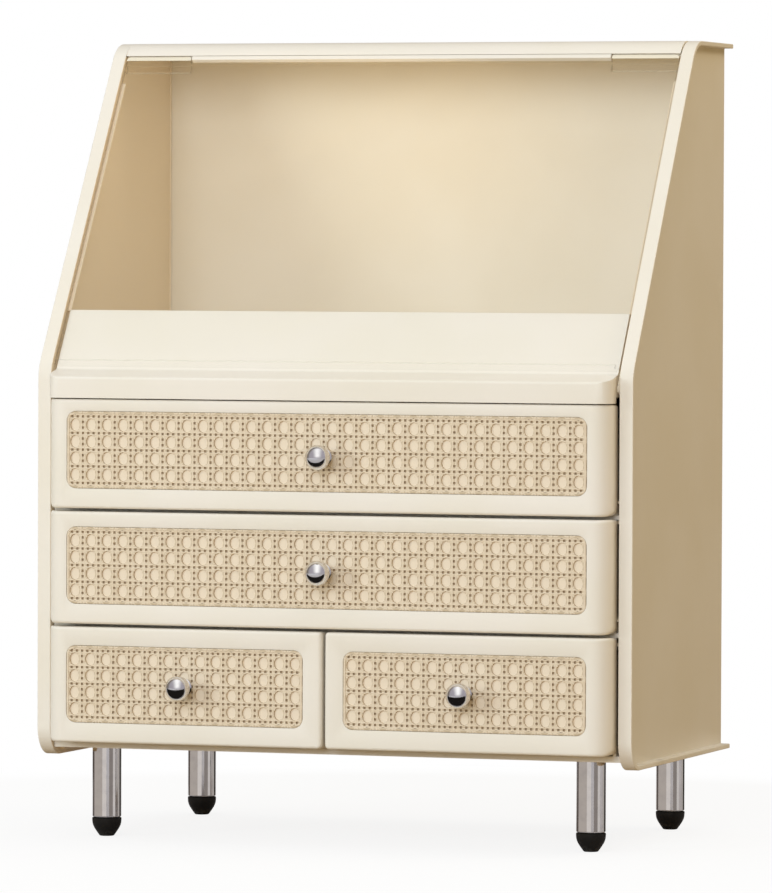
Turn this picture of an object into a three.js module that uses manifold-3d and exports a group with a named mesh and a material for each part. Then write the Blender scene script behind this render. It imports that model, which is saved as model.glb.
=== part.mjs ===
// Dustproof makeup organizer: a slope-fronted cabinet on four legs, with two wide and two
// small drawers, an upper compartment behind a clear hinged lid, and cane-pattern fronts.
// Millimetres, +Z up, front towards -Y. The origin is under the middle of the whole object.

import * as THREE from 'three';
import { mergeVertices } from 'three/addons/utils/BufferGeometryUtils.js';
import Module from 'manifold-3d';

const wasm = await Module();
wasm.setup();

// Overall case
const caseWidth = 300;
const caseDepth = 170;
const caseTop = 387;
const sideBottom = 40;
const kneeHeight = 227.5;
const slopeRetreat = 105;

// Fits shared by every piece
const seat = 0.3; // gap between two pieces that touch
const overrun = 0.5; // how far a cut or a joined piece runs past a face
const arcStep = THREE.MathUtils.degToRad(15); // turn per facet on rounded corners
const roundSides = 24; // facets round a turned piece
const pinSides = 12; // facets round a pin, a screw or its hole

// Side panels: a web with a flange round its bottom, front, slope and top
const rimWidth = 6.7;
const webThickness = 2.2;
const flangeThickness = 2.2;
const bottomCornerRadius = 14;
const kneeRadius = 20;
const topCornerRadius = 18;
const ribHeight = 2; // how far the inner ribs stand off the web
const ribThickness = 1.6;
const topRibLength = 40; // ribs that carry the top panel

// Top panel
const topThickness = 2.4;
const lipEnd = 0.3; // straight end of the front lip, below its rounded corner

// Drawer rows
const rowCount = 3;
const rowBase = 46.9; // middle of the gap under the bottom row
const kneeOverRows = 13.8; // from half a gap over the top row up to the knee
const rowGrade = 1.55; // how much taller each row is than the one above it
const drawerGap = 1.5; // gap between two drawer fronts
const sideGap = 1.6; // gap between a drawer front and the side panel

// Base, shelves, partition and back
const baseBottom = 44;
const baseThickness = 3;
const baseSetback = 5;
const shelfThickness = 2.4;
const shelfSetback = 4;
const backThickness = 2.2;
const backInset = 3.3; // from the rear edge of the side panels to the back panel
const runnerHeight = 3;
const runnerWidth = 3;
const runnerInset = 8; // from the side of a drawer box to its runner
const guideHeight = 5;
const guideThickness = 1.5;
const guideClearance = 0.5;
const partitionThickness = 2.4;
const partitionGrip = 2; // depth of the ribs that hold the top of the partition

// Compartment tray: floor, hollow nose and sloping apron in one moulding
const noseProud = 11.5; // nose in front of the rims
const noseDrop = 3.9; // from the knee down to the top of the nose
const noseGap = 0.5; // between the nose and the top drawer front
const noseCornerRadius = 7;
const hollowRadiusShare = 0.8; // most of the nose hollow's depth that its corners may round
const noseEdgeRadius = 1.8;
const ledgeDrop = 0.5; // from the knee down to the top of the ledge
const apronRise = 28; // from the knee up to the top of the apron
const apronThickness = 2.4;
const apronEdgeRadius = 0.8;
const trayFloorThickness = 2.4;
const trayFloorRise = 2.8; // underside of the floor over the underside of the nose
const trayWingSetback = 10; // front end of the floor's side wings

// Clear lid
const lidThickness = 2;
const lidRecess = 0.4; // lid face under the face of the rims
const lidSideGap = 0.7;
const lidKneeGap = 2.5; // from the knee up to the lower edge of the lid
const lidLipHeight = 1.5;
const lidLipWidth = 2.2;
const lidCornerRadius = 2;
const hingeDepth = 2.8; // hinge axis under the face of the rims
const hingeBarrelRadius = 2.2;
const hingeDrop = 3.9; // hinge axis below the end of the top lip
const lidRise = 2.6; // top edge of the lid above the axis
const tabLength = 34;
const tabRise = 6; // top edge of the hinge tabs above the axis
const tabClearance = 0.9; // over the tabs, so that they can swing inwards
const tabCornerRadius = 2;
const hingePinRadius = 1.5;
const hingePinReach = 1.3;
const hingeSocketDepth = 1.7;
const lidRestThickness = 1.8;
const lidRestDrop = 8; // from the hinge axis to the upper end of the lid rests

// Drawer fronts
const frontProud = 11;
const frontBack = 3; // rear edge of the front, behind the face of the rims
const frontWall = 2.4;
const frontSideRadius = 9;
const frontMiddleRadius = 2;
const frontLowerRadius = 3.5;
const frontUpperRadius = 1.5;
const bossRadius = 4;
const padDepth = 1.5; // pad on the drawer box that plugs into the hollow front

// Cane panels
const caneMarginSide = 11;
const caneMarginMiddle = 9.5;
const caneMarginLower = 9.7;
const caneMarginUpper = 7.4; // on a row of the mean height
const caneThickness = 1.3;
const caneRadius = 4.5;
const caneBorder = 1.4;
const caneFieldDepth = 0.4;

// Drawer boxes
const boxSideInset = 2.9; // from the edge of the front to the side of the box
const boxMiddleInset = 3.75;
const boxWall = 2;
const boxRearClearance = 5;
const boxTopDrop = 8; // from the top of the row down to the top of the walls
const boxRadius = 5;

// Knobs and their screws
const knobRadius = 6;
const knobReach = 8.7; // centre of the ball in front of the drawer front
const knobNeckRadius = 2.8;
const knobBaseRadius = 4.2;
const knobBaseHeight = 1.2;
const knobBoreDepth = 9;
const knobScrewRadius = 1.2;
const knobScrewHeadRadius = 3;
const knobScrewHeadHeight = 1.8;

// Legs, foot tips and leg screws
const legRadius = 7;
const legSideInset = 27; // from the side of the case to the middle of a leg
const legFrontSetback = 24;
const legRearInset = 12;
const tipHeight = 9;
const tipRadius = 7.2;
const tipFootRadius = 3.4;
const tipPlugRadius = 5;
const tipPlugHeight = 7;
const legBoreDepth = 12;
const legScrewRadius = 1.6;
const legScrewHeadRadius = 3.7;
const legScrewHeadHeight = 2;
const holeClearance = 0.35; // between a screw or pin and the wall of its hole

// Sizes that follow from the ones above
const innerHalf = caseWidth / 2 - rimWidth;
const panelHalf = innerHalf - seat;
const frontHalf = innerHalf - sideGap;
const lidHalf = innerHalf - lidSideGap;
const webOuter = innerHalf + webThickness;
const slopeAngle = Math.atan2(caseTop - kneeHeight, slopeRetreat);
const slopeLength = Math.hypot(caseTop - kneeHeight, slopeRetreat);
const lipReach = topCornerRadius * Math.tan(slopeAngle / 2) + lipEnd; // down the slope from its corner
const backFront = caseDepth - backInset - backThickness;
const baseTop = baseBottom + baseThickness;
const meanRow = (kneeHeight - kneeOverRows - rowBase) / rowCount;
const rowTop = (row) => rowBase + (row + 1) * (meanRow + (rowGrade * (rowCount - 1 - row)) / 2);
const caneHeight = meanRow - drawerGap - caneMarginLower - caneMarginUpper;
const noseTop = kneeHeight - noseDrop;
const ledgeTop = kneeHeight - ledgeDrop;
const apronTop = kneeHeight + apronRise;
const apronDepth = lidRecess + lidThickness + seat;
const hingeReach = lipReach + hingeDrop;
const trayBottom = rowTop(rowCount - 1) - drawerGap / 2 + noseGap;
const trayFloorBottom = trayBottom + trayFloorRise;
const trayFloorTop = trayFloorBottom + trayFloorThickness;
const frontExtent = frontProud + knobReach + knobRadius;

// Materials
const cream = new THREE.MeshStandardMaterial({ color: 0xede3cf, roughness: 0.45, metalness: 0 });
const caneCream = new THREE.MeshStandardMaterial({ color: 0xe0cdb0, roughness: 0.6, metalness: 0 });
const chrome = new THREE.MeshStandardMaterial({ color: 0xd8d8d8, roughness: 0.08, metalness: 1 });
const steel = new THREE.MeshStandardMaterial({ color: 0xa9abad, roughness: 0.35, metalness: 1 });
const blackPlastic = new THREE.MeshStandardMaterial({ color: 0x141414, roughness: 0.5, metalness: 0 });
const clear = new THREE.MeshStandardMaterial({
  color: 0xeef4f2, roughness: 0.05, metalness: 0, transparent: true, opacity: 0.25,
});

// Directions across, up the slope and out of the slope
const across = new THREE.Vector3(1, 0, 0);
const upSlope = new THREE.Vector3(0, Math.cos(slopeAngle), Math.sin(slopeAngle));
const outOfSlope = new THREE.Vector3(0, -Math.sin(slopeAngle), Math.cos(slopeAngle));
const slopeCorner = new THREE.Vector3(0, slopeRetreat, caseTop);

// Point [y, z] at a distance down the slope from its top corner, and at a depth under its face
function onSlope(down, depth) {
  const point = slopeCorner.clone().addScaledVector(upSlope, -down).addScaledVector(outOfSlope, -depth);
  return [point.y, point.z];
}

// Where a plane at a depth under the slope's face is at a height z, or at a distance y
const slopeY = (z, depth) => (z - kneeHeight) / Math.tan(slopeAngle) + depth / Math.sin(slopeAngle);
const slopeZ = (y, depth) => kneeHeight + (y - depth / Math.sin(slopeAngle)) * Math.tan(slopeAngle);

// Outline through corners [a, b, radius], each rounded by an arc
function roundCorners(corners) {
  return corners.flatMap(([a, b, radius = 0], i) => {
    const here = new THREE.Vector2(a, b);
    if (radius <= 0) return [here];
    const before = new THREE.Vector2(...corners.at(i - 1)).sub(here).normalize();
    const after = new THREE.Vector2(...corners[(i + 1) % corners.length]).sub(here).normalize();
    const half = before.angleTo(after) / 2;
    const middle = before.clone().add(after).normalize();
    const centre = here.clone().addScaledVector(middle, radius / Math.sin(half));
    const start = here.clone().addScaledVector(before, radius / Math.tan(half)).sub(centre);
    const sweep = (Math.PI - 2 * half) * Math.sign(after.cross(before));
    const steps = Math.max(2, Math.ceil(Math.abs(sweep) / arcStep));
    return Array.from({ length: steps + 1 }, (_, k) =>
      start.clone().rotateAround(new THREE.Vector2(), (sweep * k) / steps).add(centre));
  });
}

// Closed solid from a geometry, ready to be joined and cut
function solid(geometry) {
  geometry.deleteAttribute('normal');
  geometry.deleteAttribute('uv');
  const merged = mergeVertices(geometry);
  const triangles = [];
  for (let i = 0; i < merged.index.count; i += 3) {
    const [a, b, c] = merged.index.array.slice(i, i + 3);
    if (a !== b && b !== c && c !== a) triangles.push(a, b, c);
  }
  return new wasm.Manifold(new wasm.Mesh({
    numProp: 3,
    vertProperties: new Float32Array(merged.attributes.position.array),
    triVerts: new Uint32Array(triangles),
  }));
}

const join = (first, ...others) => others.reduce((whole, other) => whole.add(other), first);
const cut = (first, ...others) => others.reduce((whole, other) => whole.subtract(other), first);

// Prism of an outline, laid out on two directions and extruded along a third from an origin
function prism(corners, length, right, up, along, origin) {
  const geometry = new THREE.ExtrudeGeometry(new THREE.Shape(roundCorners(corners)), {
    depth: length, bevelEnabled: false, steps: 1,
  });
  geometry.applyMatrix4(new THREE.Matrix4().makeBasis(right, up, along).setPosition(origin));
  return solid(geometry);
}

// Prism of a [y, z] outline between two values of x
function prismX(corners, from, to) {
  const [x0, x1] = [Math.min(from, to), Math.max(from, to)];
  return prism(corners, x1 - x0, new THREE.Vector3(0, 1, 0), new THREE.Vector3(0, 0, 1), across,
    new THREE.Vector3(x0, 0, 0));
}

// Prism of an [x, z] outline between two values of y
function prismY(corners, y0, y1) {
  return prism(corners, y1 - y0, across, new THREE.Vector3(0, 0, 1), new THREE.Vector3(0, -1, 0),
    new THREE.Vector3(0, y1, 0));
}

// Prism of an [x, y] outline between two values of z
function prismZ(corners, z0, z1) {
  return prism(corners, z1 - z0, across, new THREE.Vector3(0, 1, 0), new THREE.Vector3(0, 0, 1),
    new THREE.Vector3(0, 0, z0));
}

// Prism of an [x, up the slope] outline, between two depths under the slope's face
function prismSlope(corners, depth0, depth1) {
  return prism(corners, depth1 - depth0, across, upSlope, outOfSlope,
    slopeCorner.clone().addScaledVector(outOfSlope, -depth1));
}

// Rectangle as an outline, with one radius for all its corners
const rectangle = (a0, a1, b0, b1, radius = 0) =>
  [[a0, b0, radius], [a1, b0, radius], [a1, b1, radius], [a0, b1, radius]];

// Box between two values on each axis
function block(xs, ys, zs) {
  const size = [xs, ys, zs].map(([from, to]) => Math.abs(to - from));
  const middle = [xs, ys, zs].map(([from, to]) => (from + to) / 2);
  return solid(new THREE.BoxGeometry(...size).translate(...middle));
}

// Rod along an axis direction between two points
function rod(radius, from, to, sides) {
  const start = new THREE.Vector3(...from);
  const way = new THREE.Vector3(...to).sub(start);
  const geometry = new THREE.CylinderGeometry(radius, radius, way.length(), sides);
  const turn = new THREE.Quaternion().setFromUnitVectors(new THREE.Vector3(0, 1, 0), way.clone().normalize());
  geometry.applyQuaternion(turn).translate(...start.addScaledVector(way, 1 / 2).toArray());
  return solid(geometry);
}

// Turned solid: [radius, distance] points about an axis direction from a place
function turned(profile, axis, place, sides) {
  const geometry = new THREE.LatheGeometry(profile.map(([r, d]) => new THREE.Vector2(r, d)), sides);
  geometry.applyQuaternion(new THREE.Quaternion().setFromUnitVectors(new THREE.Vector3(0, 1, 0), axis));
  geometry.translate(...place);
  return solid(geometry);
}

// The organizer, moved so that the middle of its depth, knobs included, lies over the origin
const organizer = new THREE.Group();
organizer.position.y = (frontExtent - caseDepth) / 2;

function place(name, shape, material) {
  const { vertProperties, triVerts } = shape.getMesh();
  const geometry = new THREE.BufferGeometry();
  geometry.setAttribute('position', new THREE.BufferAttribute(vertProperties, 3));
  geometry.setIndex(new THREE.BufferAttribute(triVerts, 1));
  const mesh = new THREE.Mesh(geometry, material);
  mesh.name = name;
  organizer.add(mesh);
}

// Outline [y, z] of a side panel, drawn in by a distance, with its rear edge at a given y
function sideOutline(inset, rear) {
  const top = caseTop - inset;
  return [
    [inset, sideBottom + inset, bottomCornerRadius - inset],
    [inset, slopeZ(inset, inset), kneeRadius - inset],
    [slopeY(top, inset), top, topCornerRadius - inset],
    [rear, top],
    [rear, sideBottom + inset],
  ];
}

// Heights [bottom, top] of the base, the two shelves and the compartment's floor
const shelfLevel = (row) => [rowTop(row) - shelfThickness / 2, rowTop(row) + shelfThickness / 2];
const floorLevels = [
  { bottom: baseBottom, top: baseTop, front: bottomCornerRadius },
  { bottom: shelfLevel(0)[0], top: shelfLevel(0)[1], front: shelfSetback },
  { bottom: shelfLevel(1)[0], top: shelfLevel(1)[1], front: shelfSetback },
  { bottom: trayFloorBottom, top: trayFloorTop, front: trayWingSetback },
];

// Side panel: flanged web, ribs that hold the floors, back, top and lid, and the hinge socket
function sidePanel(side) {
  const ribX = [side * (innerHalf - ribHeight), side * (innerHalf + overrun)];
  const rib = (ys, zs) => block(ribX, ys, zs);
  const ribEnd = backFront - seat;
  const floorRibs = floorLevels.flatMap(({ bottom, top, front }) => [
    rib([front, ribEnd], [bottom - seat - ribThickness, bottom - seat]),
    rib([front, ribEnd], [top + seat, top + seat + ribThickness]),
  ]);
  const backRibTop = caseTop - topThickness - seat;
  const rearRib = [backFront + backThickness + seat, caseDepth - overrun];
  const baseRibTop = baseTop + seat + ribThickness;
  const topRibZ = [backRibTop - ribThickness, backRibTop];
  const restStart = hingeReach + lidRestDrop;
  const restEnd = apronTop + ribThickness;
  const restInner = apronDepth + lidRestThickness;
  const lidRest = prismX([
    onSlope(restStart, apronDepth),
    [slopeY(restEnd, apronDepth), restEnd],
    [slopeY(restEnd, restInner), restEnd],
    onSlope(restStart, restInner),
  ], ...ribX);
  const hinge = onSlope(hingeReach, hingeDepth);
  const socket = rod(hingePinRadius + holeClearance, [side * (innerHalf - overrun), ...hinge],
    [side * (innerHalf + hingeSocketDepth), ...hinge], pinSides);
  const shell = cut(
    prismX(sideOutline(0, caseDepth), side * innerHalf, side * caseWidth / 2),
    prismX(sideOutline(flangeThickness, caseDepth + overrun), side * webOuter,
      side * (caseWidth / 2 + overrun)),
  );
  return cut(join(
    shell,
    ...floorRibs,
    rib(rearRib, [baseRibTop, backRibTop]),
    rib([ribEnd - topRibLength, ribEnd], topRibZ),
    lidRest,
  ), socket);
}

place('left_side_panel', sidePanel(-1), cream);
place('right_side_panel', sidePanel(1), cream);

// Top panel: flat top, rounded front lip, and a notch at each end for the lid's hinge tabs
function topPanel() {
  const under = caseTop - topThickness;
  const shell = prismX([
    onSlope(lipReach, 0),
    [slopeRetreat, caseTop, topCornerRadius],
    [caseDepth, caseTop],
    [caseDepth, under],
    [slopeY(under, topThickness), under, topCornerRadius - topThickness],
    onSlope(lipReach, topThickness),
  ], -panelHalf, panelHalf);
  const notchTop = hingeReach - tabRise - tabClearance;
  const notchInner = lidHalf - tabLength - guideClearance;
  const notches = [-1, 1].map((side) => prismX([
    onSlope(notchTop, -topThickness),
    onSlope(lipReach + overrun, -topThickness),
    onSlope(lipReach + overrun, 2 * topThickness),
    onSlope(notchTop, 2 * topThickness),
  ], side * notchInner, side * (panelHalf + overrun)));
  return cut(shell, ...notches);
}

place('top_panel', topPanel(), cream);

place('back_panel', block([-panelHalf, panelHalf], [backFront, backFront + backThickness],
  [baseTop + seat, caseTop - topThickness - seat]), cream);

// Sides [from, to] in x of the drawer boxes in a row with one wide drawer or two small ones
const boxMiddle = drawerGap / 2 + boxMiddleInset;
const boxSide = frontHalf - boxSideInset;
const wideBay = [[-boxSide, boxSide]];
const smallBays = [[-boxSide, -boxMiddle], [boxMiddle, boxSide]];

// Runners under each drawer of a row and guides beside it, standing on a floor
function runners(bays, floorTop, front) {
  const ys = [front, backFront - seat];
  const low = [floorTop - overrun, floorTop + runnerHeight];
  const high = [floorTop - overrun, floorTop + guideHeight];
  return bays.flatMap(([from, to]) => [
    block([from + runnerInset, from + runnerInset + runnerWidth], ys, low),
    block([to - runnerInset - runnerWidth, to - runnerInset], ys, low),
    block([from - guideClearance - guideThickness, from - guideClearance], ys, high),
    block([to + guideClearance, to + guideClearance + guideThickness], ys, high),
  ]);
}

const legPlaces = [
  ['front_left', -1, legFrontSetback],
  ['front_right', 1, legFrontSetback],
  ['rear_left', -1, caseDepth - legRearInset],
  ['rear_right', 1, caseDepth - legRearInset],
].map(([name, side, y]) => ({ name, x: side * (caseWidth / 2 - legSideInset), y }));

// Base panel: plate with runners, ribs beside the partition and holes for the leg screws
function basePanel() {
  const plate = block([-panelHalf, panelHalf], [baseSetback, caseDepth - backInset + seat],
    [baseBottom, baseTop]);
  const holes = legPlaces.map(({ x, y }) => rod(legScrewRadius + holeClearance,
    [x, y, baseBottom - overrun], [x, y, baseTop + overrun], pinSides));
  return cut(join(plate, ...runners(smallBays, baseTop, baseSetback)), ...holes);
}

place('base_panel', basePanel(), cream);

// Shelf over a row, with runners for the drawers on it and ribs under it for a partition
function shelf(row, partitioned) {
  const [bottom, top] = shelfLevel(row);
  const ys = [shelfSetback, backFront - seat];
  const plate = block([-panelHalf, panelHalf], ys, [bottom, top]);
  const ribInner = partitionThickness / 2 + seat;
  const ribs = partitioned ? [-1, 1].map((side) => block(
    [side * ribInner, side * (ribInner + ribThickness)], ys,
    [bottom - partitionGrip, bottom + overrun],
  )) : [];
  return join(plate, ...runners(wideBay, top, shelfSetback), ...ribs);
}

place('lower_shelf', shelf(0, true), cream);
place('upper_shelf', shelf(1, false), cream);

place('drawer_partition', block([-partitionThickness / 2, partitionThickness / 2],
  [shelfSetback, backFront - seat], [baseTop + seat, shelfLevel(0)[0] - seat]), cream);

// Compartment tray: hollow nose over the drawers, ledge, sloping apron and floor
function compartmentTray() {
  const innerFace = slopeY(trayFloorTop, apronDepth + apronThickness);
  const noseHollowTop = noseTop - apronThickness;
  const section = [
    [-noseProud, trayBottom],
    [-noseProud, noseTop, noseEdgeRadius],
    [slopeY(ledgeTop, apronDepth), ledgeTop, noseEdgeRadius],
    [slopeY(apronTop, apronDepth), apronTop, apronEdgeRadius],
    [slopeY(apronTop, apronDepth + apronThickness), apronTop, apronEdgeRadius],
    [innerFace, trayFloorTop, noseEdgeRadius],
    [backFront - seat, trayFloorTop],
    [backFront - seat, trayFloorBottom],
    [innerFace, trayFloorBottom],
    [innerFace, trayBottom],
  ];
  const plan = [
    [-frontHalf, backFront],
    [-frontHalf, -noseProud, noseCornerRadius],
    [frontHalf, -noseProud, noseCornerRadius],
    [frontHalf, backFront],
  ];
  const [hollowHalf, hollowFront, hollowBack] = [frontHalf - apronThickness, apronThickness - noseProud,
    innerFace - apronThickness];
  const hollowRadius = Math.min(noseCornerRadius - apronThickness, (hollowBack - hollowFront) * hollowRadiusShare);
  const hollowPlan = [
    [-hollowHalf, hollowBack],
    [-hollowHalf, hollowFront, hollowRadius],
    [hollowHalf, hollowFront, hollowRadius],
    [hollowHalf, hollowBack],
  ];
  const body = prismX(section, -frontHalf, frontHalf)
    .intersect(prismZ(plan, trayBottom - overrun, apronTop + overrun))
    .subtract(prismZ(hollowPlan, trayBottom - overrun, noseHollowTop));
  const wings = block([-panelHalf, panelHalf], [trayWingSetback, backFront - seat],
    [trayFloorBottom, trayFloorTop]);
  return join(body, wings);
}

place('compartment_tray', compartmentTray(), cream);

// Clear lid: sheet with a lip along its lower edge, and two hinge tabs with barrels and pins
function dustLid() {
  const edges = { top: lidRise - hingeReach, tab: tabRise - hingeReach, low: lidKneeGap - slopeLength };
  const tabInner = lidHalf - tabLength;
  const sheet = prismSlope([
    [-lidHalf, edges.low, lidCornerRadius],
    [lidHalf, edges.low, lidCornerRadius],
    [lidHalf, edges.tab, tabCornerRadius],
    [tabInner, edges.tab, tabCornerRadius / 2],
    [tabInner, edges.top],
    [-tabInner, edges.top],
    [-tabInner, edges.tab, tabCornerRadius / 2],
    [-lidHalf, edges.tab, tabCornerRadius],
  ], lidRecess, lidRecess + lidThickness);
  const lip = prismSlope(
    rectangle(lidCornerRadius - lidHalf, lidHalf - lidCornerRadius, edges.low, edges.low + lidLipWidth),
    lidRecess - lidLipHeight, lidRecess + lidThickness / 2,
  );
  const hinge = onSlope(hingeReach, hingeDepth);
  const barrels = [-1, 1].flatMap((side) => [
    rod(hingeBarrelRadius, [side * tabInner, ...hinge], [side * lidHalf, ...hinge], roundSides),
    rod(hingePinRadius, [side * (lidHalf - overrun), ...hinge],
      [side * (innerHalf + hingePinReach), ...hinge], pinSides),
  ]);
  return join(sheet, lip, ...barrels);
}

place('dust_lid', dustLid(), clear);

// Drawer front: hollow cap with rounded ends, a pocket for the cane panel and a screw boss
function drawerFront({ from, to, bottom, top, radii, pocket, knob }) {
  const depthPlan = (inset, face) => [
    [from + inset, frontBack + inset],
    [from + inset, face, radii[0] - inset],
    [to - inset, face, radii[1] - inset],
    [to - inset, frontBack + inset],
  ];
  const elevation = [
    [from, bottom, Math.min(radii[0], frontLowerRadius)],
    [to, bottom, Math.min(radii[1], frontLowerRadius)],
    [to, top, frontUpperRadius],
    [from, top, frontUpperRadius],
  ];
  const pocketFloor = caneThickness + seat - frontProud;
  const cap = prismZ(depthPlan(0, -frontProud), bottom, top)
    .intersect(prismY(elevation, -frontProud - overrun, frontBack + overrun));
  const hollow = prismZ(depthPlan(frontWall, pocketFloor + frontWall), bottom + frontWall, top - frontWall);
  const boss = rod(bossRadius, [knob.x, pocketFloor + overrun, knob.z],
    [knob.x, frontBack - padDepth, knob.z], pinSides);
  const hole = rod(knobScrewRadius + holeClearance, [knob.x, -frontProud - overrun, knob.z],
    [knob.x, frontBack + overrun, knob.z], pinSides);
  const recess = prismY(rectangle(pocket.from - seat, pocket.to + seat, pocket.bottom - seat,
    pocket.top + seat, caneRadius + seat), -frontProud - overrun, pocketFloor);
  return cut(join(cut(cap, hollow), boss), recess, hole);
}

// Cane panel: thin plate in the pocket, with a narrow border round a sunk field
function canePanel({ pocket, knob }) {
  const { from, to, bottom, top } = pocket;
  const face = -frontProud;
  const plate = prismY(rectangle(from, to, bottom, top, caneRadius), face, face + caneThickness);
  const field = prismY(rectangle(from + caneBorder, to - caneBorder, bottom + caneBorder,
    top - caneBorder, caneRadius - caneBorder), face - overrun, face + caneFieldDepth);
  const hole = rod(knobScrewRadius + holeClearance, [knob.x, face - overrun, knob.z],
    [knob.x, face + caneThickness + overrun, knob.z], pinSides);
  return cut(plate, field, hole);
}

// Drawer box: open moulded tray, with a pad in front that plugs into the hollow drawer front
function drawerBox({ from, to, bottom, top, box, knob }) {
  const front = frontBack + seat;
  const rear = backFront - boxRearClearance;
  const tray = cut(
    prismZ(rectangle(box.from, box.to, front, rear, boxRadius / 2), box.bottom, box.top),
    prismZ(rectangle(box.from + boxWall, box.to - boxWall, front + boxWall, rear - boxWall, boxRadius),
      box.bottom + boxWall, box.top + overrun),
  );
  const inset = frontWall + seat;
  const pad = block(
    [Math.max(from + inset, box.from + inset), Math.min(to - inset, box.to - inset)],
    [front - padDepth, front + overrun],
    [Math.max(bottom + inset, box.bottom), Math.min(top - inset, box.top - boxWall)],
  );
  const hole = rod(knobScrewRadius + holeClearance, [knob.x, front - padDepth - overrun, knob.z],
    [knob.x, front + boxWall + overrun, knob.z], pinSides);
  return cut(join(tray, pad), hole);
}

// Knob: ball on a short neck with a small base, bored from behind for its screw
function knob({ knob: { x, z } }) {
  const base = frontProud - caneFieldDepth + seat;
  const neckEnd = Math.sqrt(knobRadius ** 2 - knobNeckRadius ** 2);
  const centre = frontProud + knobReach;
  const firstAngle = Math.asin(knobNeckRadius / knobRadius);
  const rings = roundSides / 2;
  const ball = Array.from({ length: rings }, (_, k) => {
    const angle = firstAngle + ((Math.PI - firstAngle) * (k + 1)) / rings;
    const last = k === rings - 1;
    return [last ? 0 : knobRadius * Math.sin(angle), centre - knobRadius * Math.cos(angle)];
  });
  const bore = knobScrewRadius + holeClearance;
  return turned([
    [0, base + knobBoreDepth],
    [bore, base + knobBoreDepth],
    [bore, base],
    [knobBaseRadius, base],
    [knobBaseRadius, base + knobBaseHeight / 2],
    [knobNeckRadius, base + knobBaseHeight],
    [knobNeckRadius, centre - neckEnd],
    ...ball,
  ], new THREE.Vector3(0, -1, 0), [x, 0, z], roundSides);
}

// Knob screw: pan head inside the drawer box, shank through the front and into the knob
function knobScrew({ knob: { x, z } }) {
  const underHead = frontBack + 2 * seat + boxWall;
  const tip = caneFieldDepth - frontProud - knobBoreDepth + seat;
  return join(
    rod(knobScrewHeadRadius, [x, underHead, z], [x, underHead + knobScrewHeadHeight, z], pinSides),
    rod(knobScrewRadius, [x, tip, z], [x, underHead + overrun, z], pinSides),
  );
}

// The drawers: name, row, ends of the front and which of them meet the side panels
const wide = { ends: [-frontHalf, frontHalf], outer: [true, true], bay: wideBay[0] };
const drawers = [
  { name: 'top_drawer', row: 2, ...wide },
  { name: 'middle_drawer', row: 1, ...wide },
  { name: 'left_drawer', row: 0, ends: [-frontHalf, -drawerGap / 2], outer: [true, false], bay: smallBays[0] },
  { name: 'right_drawer', row: 0, ends: [drawerGap / 2, frontHalf], outer: [false, true], bay: smallBays[1] },
];

for (const { name, row, ends: [from, to], outer, bay } of drawers) {
  const bottom = rowTop(row - 1) + drawerGap / 2;
  const top = rowTop(row) - drawerGap / 2;
  const margins = outer.map((isOuter) => (isOuter ? caneMarginSide : caneMarginMiddle));
  const pocket = {
    from: from + margins[0],
    to: to - margins[1],
    bottom: bottom + caneMarginLower,
    top: bottom + caneMarginLower + caneHeight,
  };
  const floorTop = row === 0 ? baseTop : shelfLevel(row - 1)[1];
  const drawer = {
    from, to, bottom, top, pocket,
    radii: outer.map((isOuter) => (isOuter ? frontSideRadius : frontMiddleRadius)),
    box: { from: bay[0], to: bay[1], bottom: floorTop + runnerHeight + seat, top: rowTop(row) - boxTopDrop },
    knob: { x: (pocket.from + pocket.to) / 2, z: (bottom + top) / 2 },
  };
  place(`${name}_box`, drawerBox(drawer), cream);
  place(`${name}_front`, drawerFront(drawer), cream);
  place(`${name}_cane_panel`, canePanel(drawer), caneCream);
  place(`${name}_knob`, knob(drawer), chrome);
  place(`${name}_knob_screw`, knobScrew(drawer), steel);
}

// Leg: chrome tube, open below for the plug of its tip and bored above for its screw
function leg({ x, y }) {
  const plugBore = tipPlugRadius + holeClearance;
  const bottom = tipHeight + seat;
  const top = baseBottom - seat;
  const screwBore = legScrewRadius + holeClearance;
  return turned([
    [0, bottom + tipPlugHeight],
    [plugBore, bottom + tipPlugHeight],
    [plugBore, bottom],
    [legRadius, bottom],
    [legRadius, top],
    [screwBore, top],
    [screwBore, top - legBoreDepth],
    [0, top - legBoreDepth],
  ], new THREE.Vector3(0, 0, 1), [x, y, 0], roundSides);
}

// Foot tip: flat foot, swelling side and a plug up into the leg
function footTip({ x, y }) {
  const shoulders = 5;
  const swell = Array.from({ length: shoulders }, (_, k) => {
    const angle = (Math.PI / 2) * ((k + 1) / shoulders);
    return [
      tipFootRadius + (tipRadius - tipFootRadius) * Math.sin(angle),
      (tipHeight - tipPlugHeight / shoulders) * (1 - Math.cos(angle)),
    ];
  });
  return turned([
    [0, 0],
    [tipFootRadius, 0],
    ...swell,
    [tipRadius, tipHeight],
    [tipPlugRadius, tipHeight],
    [tipPlugRadius, tipHeight + tipPlugHeight - seat],
    [0, tipHeight + tipPlugHeight - seat],
  ], new THREE.Vector3(0, 0, 1), [x, y, 0], roundSides);
}

// Leg screw: head on the base panel, shank down into the leg
function legScrew({ x, y }) {
  const underHead = baseTop + seat;
  return join(
    rod(legScrewHeadRadius, [x, y, underHead], [x, y, underHead + legScrewHeadHeight], pinSides),
    rod(legScrewRadius, [x, y, baseBottom - legBoreDepth + seat], [x, y, underHead + overrun], pinSides),
  );
}

for (const spot of legPlaces) {
  place(`leg_${spot.name}`, leg(spot), chrome);
  place(`foot_tip_${spot.name}`, footTip(spot), blackPlastic);
  place(`leg_screw_${spot.name}`, legScrew(spot), steel);
}

export default organizer;
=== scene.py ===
import math

import bmesh
import bpy
from mathutils import Matrix, Vector


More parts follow.
